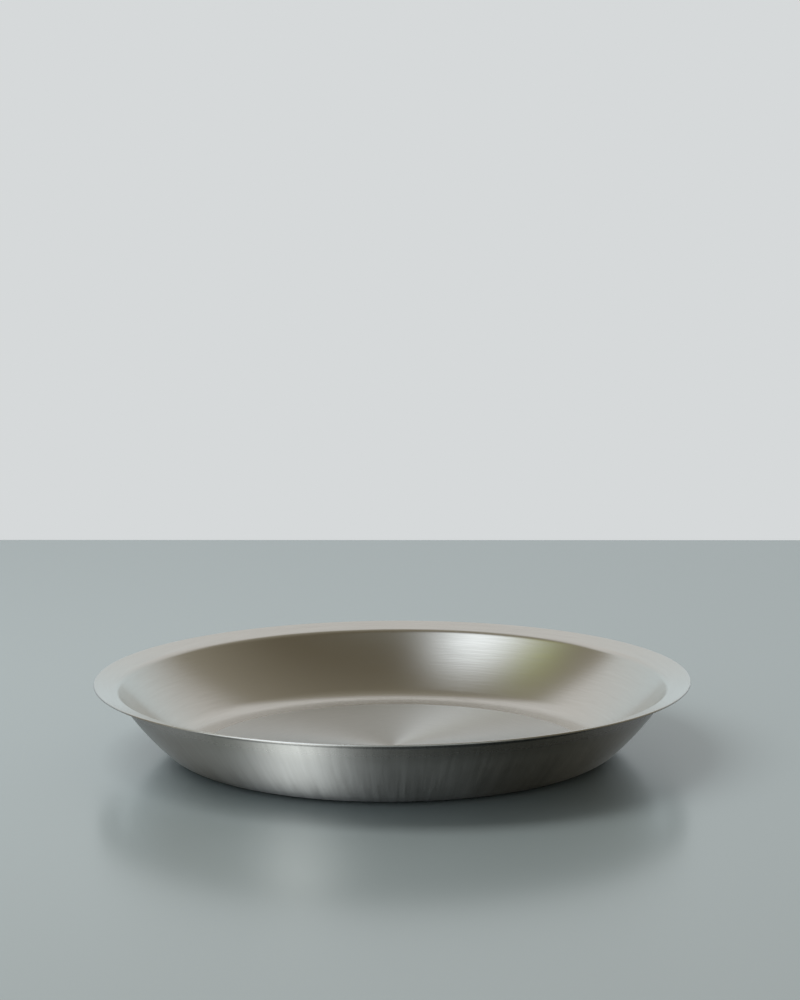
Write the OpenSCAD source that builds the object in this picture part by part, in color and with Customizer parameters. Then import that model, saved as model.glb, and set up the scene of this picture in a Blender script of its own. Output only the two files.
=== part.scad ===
// Round serving tray pressed from one blank of stainless steel sheet.
// Flat floor, corner bend, sloping wall that curves up slightly, short flare and a flat rim
// that tilts up to its deburred edge. The sheet keeps one thickness all the way.
// The tray stands on z = 0 and is centred on the z axis.

/* [Tray] */
// Diameter over the rim
rim_d = 240; // [180:1:300]
// Height from the table to the top of the rim
height = 30.5; // [20:0.5:45]
// Width of the side seen from above, from the flat foot out to the rim's edge
side_w = 39; // [35:0.5:60]
// Thickness of the steel sheet
sheet_t = 0.8; // [0.5:0.1:1.5]

/* [Bends] */
// Inside radius of the bend between floor and wall
corner_r = 16; // [6:0.5:22]
// Inside radius of the wall's slight curve
wall_r = 108; // [70:1:400]
// Radius of the flare between wall and rim, under the sheet
flare_r = 3; // [1:0.5:8]

/* [Rim] */
// Flat width of the rim outside the flare
rim_w = 7.8; // [2:0.2:12]
// Upward tilt of the rim towards its edge, in degrees
rim_tilt = 16; // [0:0.5:30]
// Rounding of the cut edge's arrises
edge_r = 0.3; // [0.1:0.05:0.7]

/* [Smoothness] */
// Largest turn between points of a bend, in degrees
bend_step = 3; // [1:0.5:6]
// Largest turn between points along the wall, in degrees
wall_step = 1; // [0.5:0.5:3]
// Largest turn between points of the rounded edge, in degrees
edge_step = 15; // [5:5:30]

/* [Hidden] */
$fn = 180;

steel = [0.74, 0.74, 0.72];

// The profile is drawn along the under side of the sheet as [radius, height].
// A slope is the angle of the sheet above level, rising outwards.
function along(slope) = [cos(slope), sin(slope)];
function square_to(slope) = [-sin(slope), cos(slope)];

// Points of an arc about a centre, from one direction to another,
// with no turn between points larger than step
function arc(centre, r, from, to, step) =
    let (turns = ceil(abs(to - from) / step))
    [for (i = [0 : turns]) centre + r * along(from + (to - from) * i / turns)];

// The points of an arc without its two ends, which the arcs beside it have
function without_ends(points) = [for (i = [1 : 1 : len(points) - 2]) points[i]];

// Rounding of the two arrises, limited so that a flat land stays between them
edge_land = 0.1;
round_r = min(edge_r, sheet_t * (1 - edge_land) / 2);

// Centres of the two roundings: the lower one reaches the rim diameter,
// the upper one the height of the tray
edge_t = sheet_t - 2 * round_r;
edge_low = [rim_d / 2 - round_r, height - round_r - edge_t * cos(rim_tilt)];
edge_top = edge_low + edge_t * square_to(rim_tilt);

// Under side of the rim where the flare ends
rim_start = edge_low - round_r * square_to(rim_tilt) - rim_w * along(rim_tilt);

// Centres of the two bends: the corner's lies above the sheet, where the flat foot ends,
// and the flare's below
foot_d = rim_d - 2 * side_w;
corner_under_r = corner_r + sheet_t;
corner_centre = [foot_d / 2, corner_under_r];
flare_centre = rim_start - flare_r * square_to(rim_tilt);

// The wall is an arc that runs on from the corner bend and meets the flare without a kink.
// Its centre is known by its distances from the centres of the two bends.
wall_under_r = wall_r + sheet_t;
corner_to_wall = wall_under_r - corner_under_r;
flare_to_wall = wall_under_r + flare_r;
between = flare_centre - corner_centre;
span = norm(between);
swing = acos((span ^ 2 + corner_to_wall ^ 2 - flare_to_wall ^ 2) / (2 * span * corner_to_wall));
corner_slope = atan2(between[1], between[0]) + swing - 90;
wall_centre = corner_centre + corner_to_wall * square_to(corner_slope);
from_flare = wall_centre - flare_centre;
wall_slope = atan2(from_flare[1], from_flare[0]) - 90;

// One side of the sheet, from the axis out to the start of the rim's edge;
// lift is 0 for the under side and the sheet's thickness for the top
function side(lift) = concat(
    [[0, lift]],
    arc(corner_centre, corner_under_r - lift, -90, corner_slope - 90, bend_step),
    without_ends(arc(wall_centre, wall_under_r - lift, corner_slope - 90, wall_slope - 90, wall_step)),
    arc(flare_centre, flare_r + lift, wall_slope + 90, rim_tilt + 90, bend_step)
);

// The cut edge with its two rounded arrises, from the under side to the top
function cut_edge() = concat(
    arc(edge_low, round_r, rim_tilt - 90, rim_tilt, edge_step),
    arc(edge_top, round_r, rim_tilt, rim_tilt + 90, edge_step)
);

function reversed(points) = [for (i = [len(points) - 1 : -1 : 0]) points[i]];

module tray() {
    color(steel)
        rotate_extrude()
            polygon(concat(side(0), cut_edge(), reversed(side(sheet_t))));
}

tray();
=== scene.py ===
import bpy
import bmesh
from math import acos, atan2, cos, pi, radians, sin
from mathutils import Matrix, Vector


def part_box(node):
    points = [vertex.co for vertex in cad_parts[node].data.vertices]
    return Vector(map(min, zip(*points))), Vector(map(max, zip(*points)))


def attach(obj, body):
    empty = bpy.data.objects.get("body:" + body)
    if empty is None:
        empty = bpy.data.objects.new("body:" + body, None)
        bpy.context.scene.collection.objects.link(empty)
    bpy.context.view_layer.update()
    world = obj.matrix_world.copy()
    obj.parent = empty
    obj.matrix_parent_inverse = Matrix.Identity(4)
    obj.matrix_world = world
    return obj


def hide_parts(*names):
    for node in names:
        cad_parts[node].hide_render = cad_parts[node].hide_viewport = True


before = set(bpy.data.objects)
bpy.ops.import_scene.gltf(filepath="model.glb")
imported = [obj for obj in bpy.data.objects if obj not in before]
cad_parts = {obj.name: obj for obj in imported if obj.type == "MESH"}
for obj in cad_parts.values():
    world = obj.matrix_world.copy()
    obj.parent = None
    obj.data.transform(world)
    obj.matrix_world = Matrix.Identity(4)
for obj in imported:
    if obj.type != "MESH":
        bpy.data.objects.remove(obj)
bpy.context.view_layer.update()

# The tray: one round blank of stainless steel sheet, pressed to a flat floor, a corner bend, a sloping
# wall that curves up slightly, a short flare and a flat rim that tilts up to its edge. The edge is
# trimmed on the lathe and its two arrises are deburred.
MM = 0.001
tray_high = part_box("tray")[1]
rim_r = min(tray_high[0], tray_high[1])
height = tray_high[2]
foot_r = 81 * MM
floor_polish_r = 79 * MM
sheet_t = 0.8 * MM
corner_r = 16 * MM
wall_r = 108 * MM
flare_r = 3 * MM
rim_w = 7.8 * MM
rim_tilt = radians(16)
edge_r = 0.3 * MM


def along(slope):
    """Unit vector up the sheet, in the XZ plane."""
    return Vector((cos(slope), 0, sin(slope)))


def square_to(slope):
    """Unit vector out of the sheet's top side, in the XZ plane."""
    return Vector((-sin(slope), 0, cos(slope)))


# The profile follows the under side of the sheet. As in the solid, the wall runs on from the corner
# bend and meets the flare without a kink. Its centre is known by its distances from the centres of
# the two bends.
edge_flat = sheet_t - 2 * edge_r
edge_low = Vector((rim_r - edge_r, 0, height - edge_r - edge_flat * cos(rim_tilt)))
rim_start = edge_low - edge_r * square_to(rim_tilt) - rim_w * along(rim_tilt)
rim_end = rim_start + (rim_w + edge_r) * along(rim_tilt)
corner_under_r = corner_r + sheet_t
corner_centre = Vector((foot_r, 0, corner_under_r))
flare_centre = rim_start - flare_r * square_to(rim_tilt)
wall_under_r = wall_r + sheet_t
corner_to_wall = wall_under_r - corner_under_r
flare_to_wall = wall_under_r + flare_r
between = flare_centre - corner_centre
span = between.length
swing = acos((span ** 2 + corner_to_wall ** 2 - flare_to_wall ** 2) / (2 * span * corner_to_wall))
corner_slope = atan2(between.z, between.x) + swing - pi / 2
wall_centre = corner_centre + corner_to_wall * square_to(corner_slope)
from_flare = wall_centre - flare_centre
wall_slope = atan2(from_flare.z, from_flare.x) - pi / 2

bend_step = radians(2)
wall_step = radians(1)
floor_step = 8 * MM
rim_step = 0.58 * MM
round_steps = 240
weld_gap = 0.0001 * MM
AXIS = (0, 0, 1)
BEND_UP = (0, -1, 0)


def run_to(mesh, start, end, step):
    """Extrudes a straight run of the profile from a vertex to a point, in short steps."""
    count = max(1, round((end - start.co).length / step))
    first = start.co.copy()
    for i in range(1, count + 1):
        start = bmesh.ops.extrude_vert_indiv(mesh, verts=[start])["verts"][0]
        start.co = first.lerp(end, i / count)
    return start


def bend(mesh, start, centre, angle, step):
    """Spins a vertex into an arc of the profile. A positive angle bends the sheet up."""
    steps = round(abs(angle) / step)
    made = bmesh.ops.spin(mesh, geom=[start], cent=centre, axis=BEND_UP, angle=angle, steps=steps)
    return made["geom_last"][0]


tray_mesh = bmesh.new()
tip = tray_mesh.verts.new((0, 0, 0))
tip = run_to(tray_mesh, tip, Vector((floor_polish_r, 0, 0)), floor_step)
tip = run_to(tray_mesh, tip, Vector((foot_r, 0, 0)), floor_step)
tip = bend(tray_mesh, tip, corner_centre, corner_slope, bend_step)
tip = bend(tray_mesh, tip, wall_centre, wall_slope - corner_slope, wall_step)
tip = bend(tray_mesh, tip, flare_centre, rim_tilt - wall_slope, bend_step)
run_to(tray_mesh, tip, rim_end, rim_step)

bmesh.ops.spin(
    tray_mesh,
    geom=tray_mesh.verts[:] + tray_mesh.edges[:],
    cent=(0, 0, 0),
    axis=AXIS,
    angle=2 * pi,
    steps=round_steps,
    use_merge=True,
)
bmesh.ops.remove_doubles(tray_mesh, verts=tray_mesh.verts, dist=weld_gap)
bmesh.ops.recalc_face_normals(tray_mesh, faces=tray_mesh.faces)
if min(tray_mesh.faces, key=lambda face: face.calc_center_median().length).normal.z > 0:
    bmesh.ops.reverse_faces(tray_mesh, faces=tray_mesh.faces)

# The under side takes its thickness upwards, so the new faces are the inside of the tray. The floor's
# own polish ends just inside the corner bend, and the steep faces at the arrises are the cut edge.
OUTSIDE, WALL, FLOOR, EDGE = range(4)
arris_turn = radians(60)
steep_z = 0.5
under_faces = set(tray_mesh.faces)
bmesh.ops.solidify(tray_mesh, geom=tray_mesh.faces[:], thickness=sheet_t)
for face in tray_mesh.faces:
    if face in under_faces:
        face.material_index = OUTSIDE
    elif face.calc_center_median().xy.length < floor_polish_r:
        face.material_index = FLOOR
    else:
        face.material_index = WALL
arrises = [edge for edge in tray_mesh.edges if edge.calc_face_angle(0) > arris_turn]
for arris in arrises:
    for face in arris.link_faces:
        if abs(face.normal.z) < steep_z:
            face.material_index = EDGE
rounded = bmesh.ops.bevel(
    tray_mesh,
    geom=arrises,
    offset=edge_r,
    offset_type="OFFSET",
    segments=4,
    profile=0.5,
    affect="EDGES",
    material=-1,
)
for face in rounded["faces"]:
    face.material_index = EDGE
for face in tray_mesh.faces:
    face.smooth = True

tray_data = bpy.data.meshes.new("pressed_tray")
tray_mesh.to_mesh(tray_data)
tray_mesh.free()
tray = bpy.data.objects.new("pressed_tray", tray_data)
bpy.context.scene.collection.objects.link(tray)

# Inside finish: the steel is polished on the lathe with a fine pad. The scratches run round the axis, so
# highlights are drawn out across them. The floor had a pass of its own with a coarser pad and is duller.
# The real lines are about 0.2 mm apart; they are drawn at 0.8 mm so that they show.
line_gap = 0.8 * MM
wall_mid_r = 100 * MM
scratch_length = wall_mid_r / 6
NOISE_LOW = 0.3
NOISE_HIGH = 0.7
LEVEL = (1, 1, 0)


def linear(code):
    """Linear colour of an sRGB hex code."""
    parts = [int(code[i:i + 2], 16) / 255 for i in (1, 3, 5)]
    return [c / 12.92 if c <= 0.04045 else ((c + 0.055) / 1.055) ** 2.4 for c in parts] + [1]


def add(tree, kind, sockets=None, **settings):
    """Adds a node, sets its properties, and links or fills its input sockets."""
    made = tree.nodes.new(kind)
    for name, value in settings.items():
        setattr(made, name, value)
    for name, value in (sockets or {}).items():
        if isinstance(value, bpy.types.NodeSocket):
            tree.links.new(value, made.inputs[name])
        else:
            made.inputs[name].default_value = value
    return made


def new_material(name):
    """An empty node material and its tree."""
    made = bpy.data.materials.new(name)
    made.use_nodes = True
    made.node_tree.nodes.clear()
    return made, made.node_tree


def from_axis(tree):
    """A point's place on the object, the level part of it, and its distance from the axis."""
    place = add(tree, "ShaderNodeTexCoord").outputs["Object"]
    level = add(tree, "ShaderNodeVectorMath", {0: place, 1: LEVEL}, operation="MULTIPLY").outputs[0]
    radius = add(tree, "ShaderNodeVectorMath", {0: level}, operation="LENGTH").outputs["Value"]
    return place, level, radius


def round_the_axis(tree, length_round, length_along):
    """Coordinates that follow the revolved sheet without a seam. A mark is length_round long round the
    axis, measured half-way up the wall, and length_along along the sheet."""
    place, level, radius = from_axis(tree)
    direction = add(tree, "ShaderNodeVectorMath", {0: level}, operation="NORMALIZE").outputs[0]
    wide = add(tree, "ShaderNodeVectorMath", {
        0: direction, "Scale": wall_mid_r / length_round}, operation="SCALE").outputs[0]
    up = add(tree, "ShaderNodeSeparateXYZ", {0: place}).outputs["Z"]
    way = add(tree, "ShaderNodeMath", {0: radius, 1: up}, operation="ADD").outputs[0]
    scaled = add(tree, "ShaderNodeMath", {0: way, 1: 1 / length_along}, operation="MULTIPLY").outputs[0]
    lift = add(tree, "ShaderNodeCombineXYZ", {"Z": scaled}).outputs[0]
    return add(tree, "ShaderNodeVectorMath", {0: wide, 1: lift}, operation="ADD").outputs[0]


def by_marks(tree, marks, colours, roughness):
    """Colour and roughness that go from the first of two values to the second as the marks rise."""
    reading = {"Value": marks, "From Min": NOISE_LOW, "From Max": NOISE_HIGH}
    share = add(tree, "ShaderNodeMapRange", reading).outputs[0]
    rough = add(tree, "ShaderNodeMapRange", {**reading, "To Min": roughness[0], "To Max": roughness[1]})
    tone = add(tree, "ShaderNodeMix", {
        "Factor": share, "A": linear(colours[0]), "B": linear(colours[1])}, data_type="RGBA")
    return tone.outputs["Result"], rough.outputs[0]


def brushed_steel(tree, tone, rough, drawn_out, ridges, depth):
    """Steel brushed round the axis, with a fine relief and highlights drawn out across the brushing."""
    relief = add(tree, "ShaderNodeBump", {"Height": ridges, "Distance": depth})
    around = add(tree, "ShaderNodeTangent", direction_type="RADIAL", axis="Z")
    steel = add(tree, "ShaderNodeBsdfPrincipled", {
        "Base Color": tone, "Metallic": 1.0, "Roughness": rough,
        "Anisotropic": drawn_out, "Anisotropic Rotation": 0.25,
        "Tangent": around.outputs[0], "Normal": relief.outputs[0]})
    add(tree, "ShaderNodeOutputMaterial", {"Surface": steel.outputs[0]})


def lathe_satin(name, colours, roughness, drawn_out, depth):
    """Steel with fine scratches round the axis."""
    made, tree = new_material(name)
    lines = add(tree, "ShaderNodeTexNoise", {
        "Vector": round_the_axis(tree, scratch_length, line_gap),
        "Scale": 1.0, "Detail": 3.0, "Roughness": 0.6}).outputs["Fac"]
    tone, rough = by_marks(tree, lines, colours, roughness)
    brushed_steel(tree, tone, rough, drawn_out, lines, depth)
    return made


wall_finish = lathe_satin(
    "stainless_steel_lathe_satin",
    colours=("#D7D5D0", "#D3D1CC"), roughness=(0.19, 0.25), drawn_out=0.65, depth=0.026 * MM)
floor_finish = lathe_satin(
    "stainless_steel_lathe_satin_floor",
    colours=("#DADAD8", "#D6D6D4"), roughness=(0.46, 0.5), drawn_out=0.9, depth=0.03 * MM)

# Outside finish: the same steel, brushed round the axis but not polished, so it is duller. Drawing the
# blank over the tool has pulled soft streaks up the wall, one to a few millimetres wide. The tool irons
# the flare and the under side of the rim, which come out smoother and without relief.
streak_gap = 1.8 * MM
streak_length = 41.7 * MM
streak_depth = 0.03 * MM
ironed_from_r = 105.5 * MM
ironed_to_r = 111.5 * MM
ironed_rough = 0.16
outside, tree = new_material("stainless_steel_drawn")
streaks = add(tree, "ShaderNodeTexNoise", {
    "Vector": round_the_axis(tree, streak_gap, streak_length),
    "Scale": 1.0, "Detail": 2.5, "Roughness": 0.6}).outputs["Fac"]
tone, drawn_rough = by_marks(tree, streaks, ("#C5C7C7", "#CFD1D1"), (0.38, 0.46))
ironed = add(tree, "ShaderNodeMapRange", {
    "Value": from_axis(tree)[2], "From Min": ironed_from_r, "From Max": ironed_to_r}).outputs[0]
rough = add(tree, "ShaderNodeMix", {
    "Factor": ironed, "A": drawn_rough, "B": ironed_rough}, data_type="FLOAT").outputs["Result"]
drawn = add(tree, "ShaderNodeMath", {0: 1.0, 1: ironed}, operation="SUBTRACT").outputs[0]
ridges = add(tree, "ShaderNodeMath", {0: streaks, 1: drawn}, operation="MULTIPLY").outputs[0]
brushed_steel(tree, tone, rough, drawn_out=0.9, ridges=ridges, depth=streak_depth)

# Cut edge: the same steel, turned on the lathe and deburred. It is about as bright as the polished
# inside, with short tool marks round the axis that vary its gloss.
tool_mark_length = 5 * MM
trimmed, tree = new_material("stainless_steel_deburred_edge")
marks = add(tree, "ShaderNodeTexNoise", {
    "Vector": round_the_axis(tree, tool_mark_length, line_gap), "Scale": 1.0, "Detail": 2.0}).outputs["Fac"]
rough = add(tree, "ShaderNodeMapRange", {
    "Value": marks, "From Min": NOISE_LOW, "From Max": NOISE_HIGH, "To Min": 0.18, "To Max": 0.3}).outputs[0]
steel = add(tree, "ShaderNodeBsdfPrincipled", {
    "Base Color": linear("#D6D5D2"), "Metallic": 1.0, "Roughness": rough})
add(tree, "ShaderNodeOutputMaterial", {"Surface": steel.outputs[0]})

for finish in (outside, wall_finish, floor_finish, trimmed):
    tray.data.materials.append(finish)
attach(tray, "root")
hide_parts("tray")

# The floor: a plain pale stone top that the tray stands on. It ends behind the tray, where the pale
# backdrop starts. Its IOR is above a stone's own, for the strong sheen of a waxed top. In the steel's
# reflections it shows a darker copy of its colour, which is painted shade, and a painted glow of a
# bright spot and a faint halo in front, which stands in for the window's light on it.
table_half_w = 3.0
table_front = -3.0
table_back = 0.564
table_turn = radians(-2.4)
floor_mesh = bmesh.new()
bmesh.ops.create_grid(floor_mesh, x_segments=1, y_segments=1, size=1)
bmesh.ops.scale(
    floor_mesh, vec=(table_half_w, (table_back - table_front) / 2, 1), verts=floor_mesh.verts)
bmesh.ops.translate(
    floor_mesh, vec=(0, (table_back + table_front) / 2, 0), verts=floor_mesh.verts)
bmesh.ops.rotate(
    floor_mesh, cent=(0, 0, 0), matrix=Matrix.Rotation(table_turn, 3, "Z"), verts=floor_mesh.verts)
floor_data = bpy.data.meshes.new("floor")
floor_mesh.to_mesh(floor_data)
floor_mesh.free()
floor = bpy.data.objects.new("floor", floor_data)
bpy.context.scene.collection.objects.link(floor)

# The painted light on the floor, seen only in the steel, fades out short of the foot as painted shade, where
# the tray shades the floor. An azimuth counts from +Y to +X.
spot_az = radians(-156)
spot_power = 55.0
halo_az = radians(-142)
halo_power = 4.0
halo_share = 0.17
shade_from_r = foot_r + 9 * MM
shade_to_r = foot_r + 24 * MM
spot_strength = 0.88


def level_way(azimuth):
    """Unit vector of a level direction."""
    return (sin(azimuth), cos(azimuth), 0)


def lobe(tree, heading, toward, power):
    """How nearly a heading points toward a direction, from 0 to 1, narrower with a higher power."""
    facing = add(tree, "ShaderNodeVectorMath", {
        0: heading, 1: toward}, operation="DOT_PRODUCT").outputs["Value"]
    ahead = add(tree, "ShaderNodeMath", {0: facing, 1: 0.0}, operation="MAXIMUM").outputs[0]
    return add(tree, "ShaderNodeMath", {0: ahead, 1: power}, operation="POWER").outputs[0]


stone, tree = new_material("pale_stone")
# Seen in the steel's reflections the floor takes a far darker colour: painted shade of the tray over the
# table.
mirrored = add(tree, "ShaderNodeLightPath").outputs["Is Glossy Ray"]
tone = add(tree, "ShaderNodeMix", {
    "Factor": mirrored, "A": linear("#929C9D"), "B": linear("#3C4342")}, data_type="RGBA").outputs["Result"]
level, away = from_axis(tree)[1:]
heading = add(tree, "ShaderNodeVectorMath", {0: level}, operation="NORMALIZE").outputs[0]
spot = lobe(tree, heading, level_way(spot_az), spot_power)
halo = lobe(tree, heading, level_way(halo_az), halo_power)
light = add(tree, "ShaderNodeMath", {0: halo, 1: halo_share, 2: spot}, operation="MULTIPLY_ADD").outputs[0]
# Painted shade: the painted light fades to nothing towards the foot.
clear = add(tree, "ShaderNodeMapRange", {
    "Value": away, "From Min": shade_from_r, "From Max": shade_to_r, "To Max": spot_strength},
    interpolation_type="SMOOTHSTEP").outputs[0]
lit = add(tree, "ShaderNodeMath", {0: light, 1: clear}, operation="MULTIPLY").outputs[0]
# A painted glow, not a lamp: the floor emits the spot and halo only into the steel's reflections.
painted_glow = add(tree, "ShaderNodeMath", {0: lit, 1: mirrored}, operation="MULTIPLY").outputs[0]
top = add(tree, "ShaderNodeBsdfPrincipled", {
    "Base Color": tone, "Roughness": 0.22, "IOR": 2.4,
    "Emission Color": linear("#F3F4EF"), "Emission Strength": painted_glow})
add(tree, "ShaderNodeOutputMaterial", {"Surface": top.outputs[0]})
floor.data.materials.append(stone)

# The room: a pale wall behind with soft ends, under a dim warm ceiling, with a small greenish patch on
# the left, a paler front, and a tall soft window on the left behind the camera. The camera itself sees
# only a plain pale backdrop.
green_way = (-0.71, -0.03, 0.7)
green_power = 48.0
window_az = radians(-130.5)
window_power = 9.0
window_strength = 1.45
MIN_FORWARD = 0.001
world = bpy.data.worlds.new("studio")
bpy.context.scene.world = world
world.use_nodes = True
tree = world.node_tree
tree.nodes.clear()
on_camera = add(tree, "ShaderNodeLightPath").outputs["Is Camera Ray"]
way = add(tree, "ShaderNodeTexCoord").outputs["Generated"]
parts = add(tree, "ShaderNodeSeparateXYZ", {0: way})
right, ahead, up = [parts.outputs[name] for name in "XYZ"]

# The wall is flat, so its top and its two ends lie where a ray's rise or sideways run, for each metre
# that it goes ahead, passes a limit. Each row gives where the wall has gone and where it is full.
forward = add(tree, "ShaderNodeMath", {0: ahead, 1: MIN_FORWARD}, operation="MAXIMUM").outputs[0]
climb = add(tree, "ShaderNodeMath", {0: up, 1: forward}, operation="DIVIDE").outputs[0]
spread = add(tree, "ShaderNodeMath", {0: right, 1: forward}, operation="DIVIDE").outputs[0]
wall_share = 1.0
for run, gone, full in ((climb, 2.6, 1.5), (spread, -2.15, -1.4), (spread, 2.3, 0.35)):
    end = add(tree, "ShaderNodeMapRange", {
        "Value": run, "From Min": gone, "From Max": full}, interpolation_type="SMOOTHSTEP").outputs[0]
    wall_share = add(tree, "ShaderNodeMath", {0: wall_share, 1: end}, operation="MULTIPLY").outputs[0]

# Colours of the room, laid over each other from the ceiling to what the camera sees
overhead = add(tree, "ShaderNodeMapRange", {"Value": ahead, "From Min": -0.32, "From Max": 0.3}).outputs[0]
raised = add(tree, "ShaderNodeMapRange", {"Value": up, "From Min": 0.15, "From Max": 0.6}).outputs[0]
in_front = add(tree, "ShaderNodeMapRange", {
    "Value": ahead, "From Min": -0.55, "From Max": -0.9}, interpolation_type="SMOOTHSTEP").outputs[0]
green = lobe(tree, way, green_way, green_power)
pale_wall = add(tree, "ShaderNodeMix", {
    "Factor": raised, "A": linear("#CFD9DC"), "B": linear("#DAD9D7")}, data_type="RGBA").outputs["Result"]
room = linear("#665F4F")
for share, colour in (
    (overhead, linear("#8F897A")),
    (in_front, linear("#A5ABAA")),
    (green, linear("#A0A466")),
    (wall_share, pale_wall),
    (on_camera, linear("#D6D9DA")),
):
    room = add(tree, "ShaderNodeMix", {
        "Factor": share, "A": room, "B": colour}, data_type="RGBA").outputs["Result"]
walls = add(tree, "ShaderNodeBackground", {"Color": room})

level = add(tree, "ShaderNodeVectorMath", {0: way, 1: LEVEL}, operation="MULTIPLY").outputs[0]
heading = add(tree, "ShaderNodeVectorMath", {0: level}, operation="NORMALIZE").outputs[0]
soft_sides = lobe(tree, heading, level_way(window_az), window_power)
soft_top = add(tree, "ShaderNodeMapRange", {
    "Value": up, "From Min": 0.99, "From Max": 0.8, "To Max": window_strength},
    interpolation_type="SMOOTHSTEP").outputs[0]
glow = add(tree, "ShaderNodeMath", {0: soft_sides, 1: soft_top}, operation="MULTIPLY").outputs[0]
off_camera = add(tree, "ShaderNodeMath", {0: 1.0, 1: on_camera}, operation="SUBTRACT").outputs[0]
strength = add(tree, "ShaderNodeMath", {0: glow, 1: off_camera}, operation="MULTIPLY").outputs[0]
window = add(tree, "ShaderNodeBackground", {"Color": linear("#EDF6FF"), "Strength": strength})
both = add(tree, "ShaderNodeAddShader", {0: walls.outputs[0], 1: window.outputs[0]})
add(tree, "ShaderNodeOutputWorld", {"Surface": both.outputs[0]})

# The lamp: a large soft light above to the left, which gives the floor its brightness and the tray its
# shadow. The steel doesn't mirror it.
lamp_way = Vector((-0.5, -0.04, 0.86))
lamp_distance = 1.0
lamp_size = (0.45, 0.8)
lamp_radiance = 5.6
lamp_data = bpy.data.lights.new("soft_lamp", "AREA")
lamp_data.shape = "RECTANGLE"
lamp_data.size, lamp_data.size_y = lamp_size
lamp_data.energy = lamp_radiance * pi * lamp_size[0] * lamp_size[1]
lamp = bpy.data.objects.new("soft_lamp", lamp_data)
lamp.location = lamp_way * lamp_distance
lamp.rotation_euler = lamp_way.to_track_quat("Z", "Y").to_euler()
lamp.visible_glossy = False
bpy.context.scene.collection.objects.link(lamp)

# The camera: an 85 mm lens a little under a metre away and about 0.2 m above the rim, looking down at
# about 8 degrees.
camera_place = (0, -0.9381, 0.2284)
pitch = radians(7.673)
yaw = radians(-0.213)
roll = radians(-0.31)
camera_data = bpy.data.cameras.new("camera")
camera_data.lens = 85
camera_data.sensor_width = 36
camera_data.clip_start = 10 * MM
camera = bpy.data.objects.new("camera", camera_data)
turn = Matrix.Rotation(yaw, 4, "Z") @ Matrix.Rotation(pi / 2 - pitch, 4, "X") @ Matrix.Rotation(roll, 4, "Z")
camera.matrix_world = Matrix.Translation(camera_place) @ turn
bpy.context.scene.collection.objects.link(camera)
bpy.context.scene.camera = camera
bpy.context.scene.view_settings.view_transform = "Standard"
